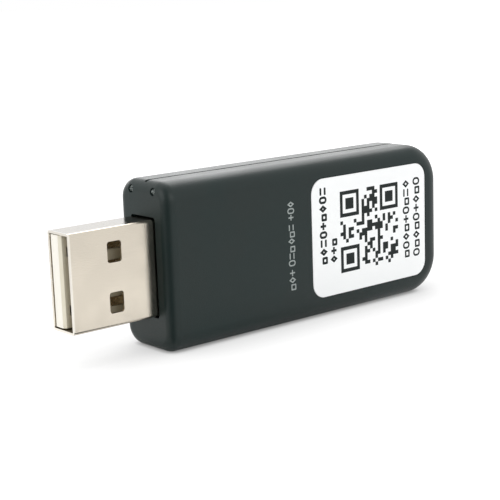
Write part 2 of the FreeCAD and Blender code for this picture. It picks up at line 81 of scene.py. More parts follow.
class CaseLook(bpy.types.PropertyGroup):
    colour: bpy.props.FloatVectorProperty(
        name="Case colour", description="Colour of the moulded case", subtype="COLOR", size=3,
        min=0, max=1, default=(0.0070, 0.0180, 0.0170))
    worn: bpy.props.FloatVectorProperty(
        name="Handled colour", description="Colour of the patches that hands have polished",
        subtype="COLOR", size=3, min=0, max=1, default=(0.0100, 0.0185, 0.0172))
    roughness: bpy.props.FloatProperty(
        name="Case roughness", description="Roughness of the satin texture", subtype="FACTOR",
        min=0, max=1, default=0.36)
    grain: bpy.props.FloatProperty(
        name="Grain", description="Width of the texture's grains", subtype="DISTANCE", unit="LENGTH",
        precision=6, min=0.00001, default=0.00016)
    stub: bpy.props.FloatProperty(
        name="Gate stub", description="Radius that the broken shards in each gate mark take up",
        subtype="DISTANCE", unit="LENGTH", precision=6, min=0.00001, default=0.00038)


class PlugLook(bpy.types.PropertyGroup):
    colour: bpy.props.FloatVectorProperty(
        name="Plug colour", description="Colour of the plated sheet", subtype="COLOR", size=3,
        min=0, max=1, default=(0.79, 0.72, 0.61))
    roughness: bpy.props.FloatProperty(
        name="Plug roughness", description="Roughness of the plated sheet", subtype="FACTOR",
        min=0, max=1, default=0.15)


class PrintLook(bpy.types.PropertyGroup):
    ink: bpy.props.FloatVectorProperty(
        name="Label ink", description="Colour of the print on the label", subtype="COLOR", size=3,
        min=0, max=1, default=(0.012, 0.0165, 0.016))
    mark: bpy.props.FloatVectorProperty(
        name="Mark ink", description="Colour of the marks on the case", subtype="COLOR", size=3,
        min=0, max=1, default=(0.36, 0.40, 0.39))
    cells: bpy.props.IntProperty(
        name="Block cells", description="Cells along one side of the block pattern", min=15, max=41,
        default=22)
    block_side: bpy.props.FloatProperty(
        name="Block side", description="Side of the block pattern", subtype="DISTANCE",
        unit="LENGTH", precision=5, min=0.001, default=0.01098)
    film: bpy.props.FloatProperty(
        name="Ink thickness", description="Thickness of the printed ink", subtype="DISTANCE",
        unit="LENGTH", precision=6, min=0.000001, default=0.000006)
    seed: bpy.props.IntProperty(
        name="Pattern", description="Number that the block pattern is drawn from", min=0, default=11)


class StudioLook(bpy.types.PropertyGroup):
    place: bpy.props.FloatVectorProperty(
        name="Camera place", description="Where the camera stands", subtype="TRANSLATION", size=3,
        default=(-0.10632208, -0.12639773, 0.04352969))
    turn: bpy.props.FloatProperty(
        name="Camera turn", description="Turn of the view about the vertical", subtype="ANGLE",
        unit="ROTATION", default=math.radians(-39.715))
    rise: bpy.props.FloatProperty(
        name="Camera rise", description="Angle at which the camera looks down", subtype="ANGLE",
        unit="ROTATION", default=math.radians(11.581))
    roll: bpy.props.FloatProperty(
        name="Camera roll", description="Roll about the line of sight", subtype="ANGLE",
        unit="ROTATION", default=math.radians(-2.029))
    lens: bpy.props.FloatProperty(
        name="Lens", description="Focal length on a 36 mm sensor, in millimetres", min=10,
        default=92.960388)
    floor: bpy.props.FloatVectorProperty(
        name="Floor colour", description="Colour of the floor", subtype="COLOR", size=3, min=0, max=1,
        default=(0.86, 0.86, 0.86))
    sky: bpy.props.FloatProperty(
        name="Sky", description="Light that comes from all round", min=0, default=0.78)
    haze: bpy.props.FloatProperty(
        name="Haze", description="Brightness of the bright sides in reflections", min=0, default=0.88)
    contact: bpy.props.FloatProperty(
        name="Contact shade", description="How far the dark line at the stick's foot reaches",
        subtype="DISTANCE", unit="LENGTH", precision=4, min=0.0001, default=0.0006)
    dusk: bpy.props.FloatProperty(
        name="Dark side", description="Brightness of the side that reflections show dark",
        subtype="FACTOR", min=0, max=1, default=0.06)
    dark_way: bpy.props.FloatVectorProperty(
        name="Way to the dark side", description="Direction from the stick to the dark side",
        subtype="DIRECTION", size=3, default=(-0.851, -0.526, 0.0))


# Node groups that several materials share

def start_group(name, inputs, outputs):
    """An empty shader group with its sockets, given as (name, kind, value) and (name, kind)."""
    group = bpy.data.node_groups.new(name, "ShaderNodeTree")
    for label, kind, value in inputs:
        socket = group.interface.new_socket(label, in_out="INPUT", socket_type=kind)
        if value is not None:
            socket.default_value = value
    for label, kind in outputs:
        group.interface.new_socket(label, in_out="OUTPUT", socket_type=kind)
    return group, group.nodes.new("NodeGroupInput").outputs, group.nodes.new("NodeGroupOutput").inputs


def math_node(tree, operation, first, second):
    """A Math node whose two inputs are sockets or numbers."""
    node = tree.nodes.new("ShaderNodeMath")
    node.operation = operation
    for socket, value in zip(node.inputs, (first, second)):
        if isinstance(value, bpy.types.NodeSocket):
            tree.links.new(value, socket)
        else:
            socket.default_value = value
    return node.outputs[0]


def noise_node(tree, vector, scale, detail, roughness=0.5):
    """The value of a Noise texture whose scale is a socket or a number."""
    node = tree.nodes.new("ShaderNodeTexNoise")
    node.inputs["Detail"].default_value = detail
    node.inputs["Roughness"].default_value = roughness
    tree.links.new(vector, node.inputs["Vector"])
    if isinstance(scale, bpy.types.NodeSocket):
        tree.links.new(scale, node.inputs["Scale"])
    else:
        node.inputs["Scale"].default_value = scale
    return node.outputs["Fac"]


def ramp_node(tree, value, low, high, to_low=0.0, to_high=1.0):
    """Value taken from low..high to to_low..to_high with soft ends."""
    node = tree.nodes.new("ShaderNodeMapRange")
    node.interpolation_type = "SMOOTHSTEP"
    for name, number in (("From Min", low), ("From Max", high), ("To Min", to_low), ("To Max", to_high)):
        node.inputs[name].default_value = number
    tree.links.new(value, node.inputs["Value"])
    return node.outputs["Result"]


def mix_colour(tree, factor, first, second):
    """A mix by a factor's socket of two colours, each a socket or three numbers."""
    node = tree.nodes.new("ShaderNodeMix")
    node.data_type = "RGBA"
    tree.links.new(factor, node.inputs["Factor"])
    for name, value in (("A", first), ("B", second)):
        socket = next(s for s in node.inputs if s.name == name and s.type == "RGBA")
        if isinstance(value, bpy.types.NodeSocket):
            tree.links.new(value, socket)
        else:
            socket.default_value = (*value, 1)
    return next(s for s in node.outputs if s.type == "RGBA")


def surface_drift():
    """Soft patches of a second colour, a roughness that follows them, and fine grain."""
    group, given, made = start_group(
        "Surface drift",
        [("Vector", "NodeSocketVector", None), ("Colour", "NodeSocketColor", None),
         ("Second colour", "NodeSocketColor", None), ("Patch size", "NodeSocketFloat", 4.0),
         ("Grain size", "NodeSocketFloat", 0.1), ("Roughness", "NodeSocketFloat", 0.4),
         ("Roughness spread", "NodeSocketFloat", 0.1)],
        [("Colour", "NodeSocketColor"), ("Roughness", "NodeSocketFloat"), ("Height", "NodeSocketFloat")])
    patch_scale = math_node(group, "DIVIDE", 1.0, given["Patch size"])
    grain_scale = math_node(group, "DIVIDE", 1.0, given["Grain size"])
    patches = ramp_node(group, noise_node(group, given["Vector"], patch_scale, 3.0), 0.36, 0.64)
    grains = noise_node(group, given["Vector"], grain_scale, 2.0, 0.6)
    mottle = math_node(group, "ADD", math_node(group, "MULTIPLY", patches, 0.7),
                       math_node(group, "MULTIPLY", grains, 0.3))
    group.links.new(mix_colour(group, mottle, given["Colour"], given["Second colour"]), made["Colour"])
    swing = math_node(group, "MULTIPLY", math_node(group, "SUBTRACT", patches, 0.5),
                      given["Roughness spread"])
    group.links.new(math_node(group, "ADD", given["Roughness"], swing), made["Roughness"])
    group.links.new(grains, made["Height"])
    return group


def rolled_lines():
    """Fine lines along X, as rolling leaves in sheet metal, with a few longer scratches.

    The two scales count noise cells per millimetre along X, Y and Z.
    """
    group, given, made = start_group(
        "Rolled lines", [("Vector", "NodeSocketVector", None)],
        [("Height", "NodeSocketFloat"), ("Mask", "NodeSocketFloat")])
    stretch = group.nodes.new("ShaderNodeMapping")
    stretch.inputs["Scale"].default_value = (0.35, 14.0, 14.0)
    group.links.new(given["Vector"], stretch.inputs["Vector"])
    fine = noise_node(group, stretch.outputs[0], 1.0, 2.0)
    coarse = group.nodes.new("ShaderNodeMapping")
    coarse.inputs["Scale"].default_value = (0.12, 2.2, 2.2)
    group.links.new(given["Vector"], coarse.inputs["Vector"])
    scratch = ramp_node(group, noise_node(group, coarse.outputs[0], 1.0, 4.0, 0.7), 0.60, 0.72)
    group.links.new(math_node(group, "SUBTRACT", fine, math_node(group, "MULTIPLY", scratch, 0.3)),
                    made["Height"])
    group.links.new(scratch, made["Mask"])
    return group


def glass_weave():
    """The cloth that shows under a board's lacquer: threads over and under each other."""
    group, given, made = start_group(
        "Glass weave", [("Vector", "NodeSocketVector", None), ("Thread", "NodeSocketFloat", 0.5)],
        [("Height", "NodeSocketFloat"), ("Mask", "NodeSocketFloat")])
    waves = []
    for axis in ("X", "Z"):
        wave = group.nodes.new("ShaderNodeTexWave")
        wave.bands_direction = axis
        wave.inputs["Distortion"].default_value = 0.4
        group.links.new(given["Vector"], wave.inputs["Vector"])
        group.links.new(math_node(group, "DIVIDE", 0.3, given["Thread"]), wave.inputs["Scale"])
        waves.append(wave.outputs["Fac"])
    height = math_node(group, "MULTIPLY", *waves)
    group.links.new(height, made["Height"])
    group.links.new(ramp_node(group, height, 0.1, 0.7), made["Mask"])
    return group


GROUPS = {}


def place_group(tree, build, vector, **values):
    """A shared group placed in a material with its own values."""
    if build.__name__ not in GROUPS:
        GROUPS[build.__name__] = build()
    node = tree.nodes.new("ShaderNodeGroup")
    node.node_tree = GROUPS[build.__name__]
    tree.links.new(vector, node.inputs["Vector"])
    for name, value in values.items():
        socket = node.inputs[name.replace("_", " ")]
        socket.default_value = (*value, 1) if hasattr(value, "__len__") else value
    return node.outputs


# Materials

def finish(name, colour, second, roughness, spread, patch, grain, depth, extra=None, **constants):
    """A material whose colour drifts to a second one and back, with a fine grain on it.

    The roughness swings by spread. Patch is the width of the drift's patches, grain that of the
    grains and depth their height, in millimetres. Extra changes the colour, roughness and height,
    and the constants go on the shader's sockets of the same names.
    """
    material = bpy.data.materials.new(name)
    material.use_nodes = True
    tree = material.node_tree
    shader = tree.nodes["Principled BSDF"]
    for socket, value in constants.items():
        shader.inputs[socket.replace("_", " ")].default_value = value
    place = tree.nodes.new("ShaderNodeTexCoord")
    scale = tree.nodes.new("ShaderNodeMapping")
    scale.inputs["Scale"].default_value = (1 / MM,) * 3
    tree.links.new(place.outputs["Object"], scale.inputs["Vector"])
    vector = scale.outputs[0]
    drift = place_group(tree, surface_drift, vector, Colour=colour, Second_colour=second,
                        Patch_size=patch, Grain_size=grain, Roughness=roughness,
                        Roughness_spread=spread)
    colour_out, rough_out, height = drift["Colour"], drift["Roughness"], drift["Height"]
    if extra:
        colour_out, rough_out, height = extra(tree, vector, colour_out, rough_out, height)
    tree.links.new(colour_out, shader.inputs["Base Color"])
    tree.links.new(rough_out, shader.inputs["Roughness"])
    bump = tree.nodes.new("ShaderNodeBump")
    bump.inputs["Distance"].default_value = depth * MM
    tree.links.new(height, bump.inputs["Height"])
    tree.links.new(bump.outputs["Normal"], shader.inputs["Normal"])
    return material


def with_lines(tree, vector, colour, rough, height):
    """Adds rolling lines to sheet metal: they catch the light and roughen the surface."""
    lines = place_group(tree, rolled_lines, vector)
    dull = mix_colour(tree, math_node(tree, "MULTIPLY", lines["Mask"], 0.22), colour, (0.55, 0.5, 0.42))
    rough = math_node(tree, "ADD", rough, math_node(tree, "MULTIPLY", lines["Mask"], 0.10))
    return dull, rough, math_node(tree, "ADD", height, lines["Height"])


def behind_tip(tree, vector):
    """How far a point lies behind the plug's tip, in millimetres."""
    parts = tree.nodes.new("ShaderNodeSeparateXYZ")
    tree.links.new(vector, parts.inputs[0])
    return math_node(tree, "SUBTRACT", parts.outputs["X"], CAD_LOW.x / MM)


def with_painted_highlight_edge(tree, vector, colour, rough, height):
    """Faint rolling lines, and a painted highlight that lightens the sheet towards its cut edge round the
    open end.
    """
    line_share = 0.08
    highlight_start, highlight_end = 0.02, 0.28
    colour, rough, lined = with_lines(tree, vector, colour, rough, height)
    height = math_node(tree, "ADD", math_node(tree, "MULTIPLY", lined, line_share), height)
    # Painted highlight: the sheet's colour turns near white within 0.28 mm of the tip.
    painted_highlight = ramp_node(tree, behind_tip(tree, vector), highlight_start, highlight_end, 1.0, 0.0)
    return mix_colour(tree, painted_highlight, colour, (1.0, 0.95, 0.86)), rough, height


def with_painted_light_and_shade(tree, vector, colour, rough, height):
    """Painted light on the tongue's end face, and painted shade behind the nose, where the shell shadows
    the tongue.
    """
    behind = behind_tip(tree, vector)
    # Painted light: the first 0.2 mm behind the tip, the tongue's end face, is lightened.
    face_start, face_end = 0.16, 0.20
    end = ramp_node(tree, behind, face_start, face_end, 1.0, 0.0)
    # Painted shade: from 0.4 mm behind the tip the tongue darkens in two steps, as the shell shadows it.
    depth = 0.0
    for start, full, share in ((0.4, 1.0, 0.66), (2.0, 4.0, 0.26)):
        depth = math_node(tree, "ADD", ramp_node(tree, behind, start, full, 0.0, share), depth)
    colour = mix_colour(tree, end, colour, (0.87, 0.84, 0.76))
    return mix_colour(tree, depth, colour, (0.45, 0.40, 0.285)), rough, height


def with_weave(tree, vector, colour, rough, height):
    """Shows the glass cloth faintly under a board's lacquer."""
    weave = place_group(tree, glass_weave, vector, Thread=0.45)
    shade = mix_colour(tree, math_node(tree, "MULTIPLY", weave["Mask"], 0.30), colour, (0.10, 0.33, 0.17))
    return shade, rough, math_node(tree, "ADD", height, weave["Height"])


def dress(material, *names):
    """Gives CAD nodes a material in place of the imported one."""
    for name in names:
        slots = NODES[name].data.materials
        slots.clear()
        slots.append(material)


# Meshes

def add_piece(name, builder, material):
    """Turns a bmesh into a piece that rides on the stick."""
    mesh = bpy.data.meshes.new(name)
    bmesh.ops.recalc_face_normals(builder, faces=builder.faces)
    builder.to_mesh(mesh)
    builder.free()
    piece = bpy.data.objects.new(name, mesh)
    bpy.context.scene.collection.objects.link(piece)
    mesh.materials.append(material)
    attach(piece, BODY)


def add_slab(builder, outline, surface, thickness):
    """A thin slab of ink on a face that looks towards -Y. Outline is a loop of (x, z)."""
    back = [builder.verts.new((x, surface, z)) for x, z in outline]
    front = [builder.verts.new((x, surface - thickness, z)) for x, z in outline]
    builder.faces.new(front)
    builder.faces.new(back[::-1])
    count = len(outline)
    for index in range(count):
        after = (index + 1) % count
        builder.faces.new((front[index], back[index], back[after], front[after]))


def add_ring(builder, outer, inner, surface, thickness):
    """A closed band of ink between two loops with the same number of points."""
    loops = []
    for outline in (outer, inner):
        loops.append([builder.verts.new((x, surface - thickness, z)) for x, z in outline])
        loops.append([builder.verts.new((x, surface, z)) for x, z in outline])
    outer_top, outer_low, inner_top, inner_low = loops
    count = len(outer)
    for index in range(count):
        after = (index + 1) % count
        for first, second in ((outer_top, inner_top), (inner_top, inner_low), (inner_low, outer_low),
                              (outer_low, outer_top)):
            builder.faces.new((first[index], first[after], second[after], second[index]))


def soft_box(x, z, half_x, half_z, radius, steps=5):
    """A loop of points round a box with soft corners."""
    radius = min(radius, half_x, half_z)
    points = []
    for corner, (side_x, side_z) in enumerate(CORNERS):
        for step in range(steps + 1):
            angle = math.radians(90 * (corner + step / steps))
            points.append((x + side_x * (half_x - radius) + radius * math.cos(angle),
                           z + side_z * (half_z - radius) + radius * math.sin(angle)))
    return points


def ring_mark(builder, x, z, tall, wide, stroke, surface, film):
    """An upright ring, as tall along X as the row is."""
    half_x, half_z = tall / 2, wide / 2
    outer = soft_box(x, z, half_x, half_z, half_z)
    inner = soft_box(x, z, half_x - stroke, half_z - stroke, half_z - stroke)
    add_ring(builder, outer, inner, surface, film)


def lozenge_mark(builder, x, z, tall, wide, stroke, surface, film):
    """A square ring that stands on its corner."""
    half_x, half_z = tall / 2, wide / 2
    inward = 1 - stroke * math.hypot(half_x, half_z) / (half_x * half_z)
    loops = [[(x + side_x * half_x * share, z + side_z * half_z * share)
              for side_x, side_z in ((1, 0), (0, 1), (-1, 0), (0, -1))] for share in (1, inward)]
    add_ring(builder, *loops, surface, film)


def pair_mark(builder, x, z, tall, wide, stroke, surface, film):
    """Two level bars, one over the other."""
    for side in (-1, 1):
        bar = soft_box(x + side * tall * 0.28, z, stroke / 2, wide / 2, stroke * 0.3, 2)
        add_slab(builder, bar, surface, film)


def cross_mark(builder, x, z, tall, wide, stroke, surface, film):
    """A plus sign."""
    far_x, far_z, near = tall * 0.36, wide / 2, stroke * 0.5
    corner = [(far_x, near), (near, near), (near, far_z)]
    outline = []
    for side_x, side_z in CORNERS:
        points = [(x + side_x * dx, z + side_z * dz) for dx, dz in corner]
        outline += points if side_x == side_z else points[::-1]
    add_slab(builder, outline, surface, film)


def box_mark(builder, x, z, tall, wide, stroke, surface, film):
    """A square ring on the base line."""
    half_x, half_z = tall * 0.36, wide / 2
    middle = x + tall / 2 - half_x
    outer = soft_box(middle, z, half_x, half_z, stroke * 0.5, 2)
    inner = soft_box(middle, z, half_x - stroke, half_z - stroke, stroke * 0.2, 2)
    add_ring(builder, outer, inner, surface, film)


def row_of_marks(builder, kinds, x, start, pitch, tall, stroke, surface, film):
    """Marks along +Z from start, with their tops towards -X.

    x is from the mouth, start from the case's middle, and both, pitch, tall and stroke are in
    millimetres.
    """
    fill = 0.86
    for index, kind in enumerate(kinds):
        z = start + (index + 0.5) * pitch
        kind(builder, MOUTH + x * MM, MIDDLE + z * MM, tall * MM, pitch * fill * MM, stroke * MM,
             surface, film)


def block_cells(count, seed):
    """Dark cells of a block pattern: a frame in three corners, and cells drawn from the seed."""
    draw = random.Random(seed)
    dark_share, frame_size = 0.47, 7
    dark = [[draw.random() < dark_share for _ in range(count)] for _ in range(count)]
    for corner_row, corner_column in ((0, 0), (0, count - frame_size), (count - frame_size, 0)):
        for row in range(-1, frame_size + 1):
            for column in range(-1, frame_size + 1):
                r, c = corner_row + row, corner_column + column
                if 0 <= r < count and 0 <= c < count:
                    inset = min(row, column, frame_size - 1 - row, frame_size - 1 - column)
                    dark[r][c] = inset == 0 or inset >= 2
    return dark


def block_fields(dark):
    """The dark cells gathered into oblongs: (row, column, rows, columns)."""
    free = [line[:] for line in dark]
    fields = []
    count = len(free)
    for row in range(count):
        for column in range(count):
            if not free[row][column]:
                continue
            end = column
            while end < count and free[row][end]:
                end += 1
            low = row + 1
            while low < count and all(free[low][column:end]):
                low += 1
            for r in range(row, low):
                free[r][column:end] = [False] * (end - column)
            fields.append((row, column, low - row, end - column))
    return fields


# Operators

class STICK_OT_case(bpy.types.Operator):
    """Dark satin plastic on both halves of the case"""
    bl_idname = "stick.case"
    bl_label = "Case"

    def execute(self, context):
        choice = context.scene.stick_case
        plastic = finish("case_plastic", choice.colour, choice.worn, choice.roughness, spread=0.05,
                         patch=9.0, grain=choice.grain / MM, depth=0.020, IOR=1.40)
        dress(plastic, "front_shell", "rear_shell")
        return {"FINISHED"}


class STICK_OT_gate_stubs(bpy.types.Operator):
    """Broken stubs of plastic in the two gate marks beside the plug"""
    bl_idname = "stick.gate_stubs"
    bl_label = "Gate stubs"

    def execute(self, context):
        choice = context.scene.stick_case
        plastic = finish("gate_plastic", (0.012, 0.018, 0.018), (0.27, 0.31, 0.30), 0.35, spread=0.2,
                         patch=0.11, grain=0.04, depth=0.012, IOR=1.5)
        pit_depth, pit_side, pit_drop = 0.24 * MM, 2.25 * MM, 1.15 * MM
        shards, golden_turn = 9, 0.618
        builder = bmesh.new()
        draw = random.Random(8)
        for side in (-1, 1):
            centre = Vector((MOUTH + pit_depth, side * pit_side, CASE_HIGH.z - pit_drop))
            for shard in range(shards):
                angle = 2 * math.pi * (shard * golden_turn + draw.uniform(-0.05, 0.05))
                reach = math.sqrt((shard + 0.4) / shards) * choice.stub
                size = draw.uniform(0.16, 0.34) * choice.stub
                spot = centre + Vector((0, reach * math.cos(angle), reach * math.sin(angle)))
                lean = Matrix.Rotation(draw.uniform(0, math.pi), 3, "X")
                made = bmesh.ops.create_icosphere(builder, subdivisions=2, radius=size)["verts"]
                for vert in made:
                    vert.co *= draw.uniform(0.8, 1.2)
                    vert.co = spot + lean @ Vector((vert.co.x * 0.8, vert.co.y * 1.9, vert.co.z * 0.8))
        add_piece("gate_stubs", builder, plastic)
        return {"FINISHED"}


class STICK_OT_plug(bpy.types.Operator):
    """Plated sheet, cream tongue and gold contacts of the data plug"""
    bl_idname = "stick.plug"
    bl_label = "Plug"

    def execute(self, context):
        choice = context.scene.stick_plug
        metal = finish("plug_nickel", choice.colour, tuple(c * 0.95 for c in choice.colour),
                       choice.roughness, spread=0.06, patch=3.0, grain=0.16, depth=0.012,
                       extra=with_painted_highlight_edge, Metallic=1.0, Specular_Tint=(0.405, 0.425, 0.46, 1.0))
        tongue = finish("tongue_cream", (0.80, 0.76, 0.63), (0.76, 0.71, 0.57), 0.45, spread=0.1,
                        patch=2.0, grain=0.08, depth=0.002, extra=with_painted_light_and_shade, IOR=1.5)
        # Painted shade: the contacts' gold is set dull and dark, partly their own plating and partly the
        # shade inside the shell.
        gold = finish("contact_gold", (0.62, 0.52, 0.38), (0.52, 0.43, 0.31), 0.24, spread=0.1,
                      patch=1.0, grain=0.05, depth=0.001, extra=with_lines, Metallic=1.0)
        dress(metal, "plug_shell")
        dress(tongue, "plug_tongue")
        dress(gold, "contact_ground", "contact_data_plus", "contact_data_minus", "contact_power")
        return {"FINISHED"}


class STICK_OT_label(bpy.types.Operator):
    """White film of the label"""
    bl_idname = "stick.label"
    bl_label = "Label film"

    def execute(self, context):
        film = finish("label_film", (0.965, 0.98, 0.978), (0.945, 0.96, 0.962), 0.5, spread=0.08,
                      patch=5.0, grain=0.09, depth=0.0012, IOR=1.45)
        dress(film, "label")
        return {"FINISHED"}


class STICK_OT_label_print(bpy.types.Operator):
    """Block pattern and rows of plain marks on the label"""
    bl_idname = "stick.label_print"
    bl_label = "Label print"

    def execute(self, context):
        choice = context.scene.stick_print
        ink = finish("label_ink", choice.ink, tuple(c * 1.3 for c in choice.ink), 0.6, spread=0.1,
                     patch=0.8, grain=0.06, depth=0.001, IOR=1.3)
        surface = LABEL_LOW.y
        step = choice.block_side / choice.cells
        left, top = MOUTH + 28.22 * MM, MIDDLE + 6.00 * MM
        builder = bmesh.new()
        for row, column, rows, columns in block_fields(block_cells(choice.cells, choice.seed)):
            x0, x1 = left + column * step, left + (column + columns) * step
            z0, z1 = top - (row + rows) * step, top - row * step
            add_slab(builder, [(x1, z1), (x0, z1), (x0, z0), (x1, z0)], surface, choice.film)
        add_piece("label_blocks", builder, ink)
        ring, pair, cross, box, lozenge = ring_mark, pair_mark, cross_mark, box_mark, lozenge_mark
        # Each row: its marks, then x, start, pitch, tall and stroke as row_of_marks takes them
        rows = [
            ((box, lozenge, pair, ring, cross, box, lozenge, ring, pair), 25.14, -3.36, 1.152, 1.36, 0.325),
            ((lozenge, cross, box), 26.95, -3.39, 1.133, 1.30, 0.32),
            ((box, ring, lozenge, box, cross, ring, box, pair, lozenge), 40.82, -4.95, 1.229, 1.32, 0.275),
            ((ring, box, lozenge, box, ring, cross, lozenge, box, ring), 42.87, -5.03, 1.257, 1.36, 0.275),
        ]
        builder = bmesh.new()
        for row in rows:
            row_of_marks(builder, *row, surface, choice.film)
        add_piece("label_rows", builder, ink)
        return {"FINISHED"}


class STICK_OT_lamp_marks(bpy.types.Operator):
    """Pale marks on the case over the four status lamps"""
    bl_idname = "stick.lamp_marks"
    bl_label = "Lamp marks"

    def execute(self, context):
        choice = context.scene.stick_print
        ink = finish("mark_ink", choice.mark, tuple(c * 0.8 for c in choice.mark), 0.5, spread=0.1,
                     patch=0.5, grain=0.05, depth=0.001, IOR=1.45)
        ring, pair, cross, box, lozenge = ring_mark, pair_mark, cross_mark, box_mark, lozenge_mark
        x, tall, stroke = 19.5, 1.16, 0.17
        # Each group: its marks, start and pitch
        groups = [
            ((box, lozenge, cross), -5.80, 0.94),
            ((ring, pair, box), -2.62, 0.92),
            ((lozenge, box, pair), 0.28, 0.88),
            ((cross, ring, lozenge), 3.36, 0.86),
        ]
        builder = bmesh.new()
        for kinds, start, pitch in groups:
            row_of_marks(builder, kinds, x, start, pitch, tall, stroke, CASE_LOW.y, choice.film)
        add_piece("lamp_marks", builder, ink)
        return {"FINISHED"}


class STICK_OT_boards(bpy.types.Operator):
    """Lacquered boards, the antenna's copper and the black light frame"""
    bl_idname = "stick.boards"
    bl_label = "Boards"

    def execute(self, context):
        lacquer = {"spread": 0.1, "patch": 3.0, "grain": 0.08, "depth": 0.004, "extra": with_weave,
                   "Coat_Weight": 0.4, "Coat_Roughness": 0.2}
        green = finish("board_green", (0.02, 0.16, 0.07), (0.03, 0.20, 0.09), 0.32, **lacquer)
        blue = finish("module_blue", (0.012, 0.035, 0.10), (0.016, 0.045, 0.13), 0.32, **lacquer)
        copper = finish("antenna_copper", (0.80, 0.50, 0.24), (0.66, 0.38, 0.17), 0.34, spread=0.1,
                        patch=0.8, grain=0.05, depth=0.001, extra=with_lines, Metallic=1.0)
        black = finish("baffle_black", (0.010, 0.010, 0.010), (0.016, 0.016, 0.016), 0.7, spread=0.1,
                       patch=2.0, grain=0.12, depth=0.006)
        dress(green, "circuit_board")
        dress(blue, "module_board")
        dress(copper, "module_antenna")
        dress(black, "light_baffle")
        return {"FINISHED"}


class STICK_OT_chips(bpy.types.Operator):
    """Moulded chips with their tinned leads, cans and crystals"""
    bl_idname = "stick.chips"
    bl_label = "Chips"

    def execute(self, context):
        mould = finish("chip_mould", (0.014, 0.014, 0.015), (0.022, 0.022, 0.023), 0.6, spread=0.1,
                       patch=1.0, grain=0.07, depth=0.005)
        tin = finish("lead_tin", (0.72, 0.72, 0.70), (0.60, 0.60, 0.58), 0.32, spread=0.12, patch=0.6,
                     grain=0.05, depth=0.001, extra=with_lines, Metallic=1.0)
        dress(mould, "controller_chip", "driver_chip", "memory_chip", "regulator_chip", "surge_guard",
              "radio_chip", "radio_memory")
        dress(tin, "controller_leads", "driver_leads", "memory_leads", "regulator_leads",
              "surge_guard_leads", "module_shield", "radio_crystal", "clock_crystal")
        return {"FINISHED"}


class STICK_OT_small_parts(bpy.types.Operator):
    """Lamps, capacitors, resistors, coil and fuse"""
    bl_idname = "stick.small_parts"
    bl_label = "Small parts"

    def execute(self, context):
        rows = [
            ("coil_ferrite", (0.035, 0.035, 0.038), (0.05, 0.05, 0.053), 0.5, "power_coil"),
            ("tank_ochre", (0.52, 0.25, 0.03), (0.45, 0.21, 0.025), 0.45, "tank_capacitors"),
            ("capacitor_tan", (0.30, 0.17, 0.09), (0.24, 0.13, 0.07), 0.4, "ceramic_capacitors"),
            ("resistor_black", (0.014, 0.014, 0.016), (0.022, 0.022, 0.025), 0.35, "lamp_resistors"),
            ("fuse_green", (0.02, 0.09, 0.04), (0.03, 0.11, 0.05), 0.4, "input_fuse"),
        ]
        for name, colour, second, roughness, node in rows:
            dress(finish(name, colour, second, roughness, spread=0.1, patch=0.8, grain=0.06,
                         depth=0.003), node)
        resin = {"spread": 0.06, "patch": 0.6, "grain": 0.05, "depth": 0.001, "IOR": 1.5}
        clear_green = finish("lamp_green", (0.62, 0.72, 0.50), (0.55, 0.66, 0.44), 0.2, **resin)
        clear_red = finish("lamp_red", (0.75, 0.55, 0.46), (0.68, 0.48, 0.40), 0.2, **resin)
        dress(clear_green, "status_lamp_1", "status_lamp_2", "status_lamp_3")
        dress(clear_red, "status_lamp_4")
        return {"FINISHED"}


def shader_node(tree, kind, **values):
    """A shader node with values or links on its sockets."""
    node = tree.nodes.new(kind)
    for name, value in values.items():
        if isinstance(value, bpy.types.NodeSocket):
            tree.links.new(value, node.inputs[name])
        else:
            node.inputs[name].default_value = value
    return node.outputs[0]


def mix_shaders(tree, factor, first, second):
    """A mix of two shaders by a factor's socket."""
    node = tree.nodes.new("ShaderNodeMixShader")
    for socket, value in zip(node.inputs, (factor, first, second)):
        tree.links.new(value, socket)
    return node.outputs[0]


def vector_node(tree, operation, first, second, output="Vector"):
    """A Vector Math node from a socket and, where it takes a second value, a vector."""
    node = tree.nodes.new("ShaderNodeVectorMath")
    node.operation = operation
    tree.links.new(first, node.inputs[0])
    if second is not None:
        node.inputs[1].default_value = second
    return node.outputs[output]


def dark_side(tree, way, studio):
    """Brightness of what the stick reflects: white all round, dark on one side."""
    white_until, dark_from = 0.74, 0.97
    unit = vector_node(tree, "NORMALIZE", vector_node(tree, "MULTIPLY", way, (1, 1, 0)), None)
    along = vector_node(tree, "DOT_PRODUCT", unit, studio.dark_way, "Value")
    return ramp_node(tree, along, white_until, dark_from, 1.0, studio.dusk)


def make_world(studio):
    """White for the camera, soft surroundings for reflections and a plain level for the rest."""
    world = bpy.data.worlds.new("studio")
    bpy.context.scene.world = world
    world.use_nodes = True
    tree = world.node_tree
    tree.nodes.clear()
    path = tree.nodes.new("ShaderNodeLightPath").outputs
    place = tree.nodes.new("ShaderNodeTexCoord").outputs
    paint = (1, 1, 1, 1)
    around = shader_node(tree, "ShaderNodeBackground", Color=paint, Strength=math_node(
        tree, "MULTIPLY", dark_side(tree, place["Generated"], studio), studio.haze))
    plain = shader_node(tree, "ShaderNodeBackground", Color=paint, Strength=studio.sky)
    white = shader_node(tree, "ShaderNodeBackground", Color=paint, Strength=1.0)
    rest = mix_shaders(tree, path["Is Glossy Ray"], plain, around)
    seen = math_node(tree, "MAXIMUM", path["Is Camera Ray"], path["Is Transmission Ray"])
    output = tree.nodes.new("ShaderNodeOutputWorld")
    tree.links.new(mix_shaders(tree, seen, rest, white), output.inputs["Surface"])


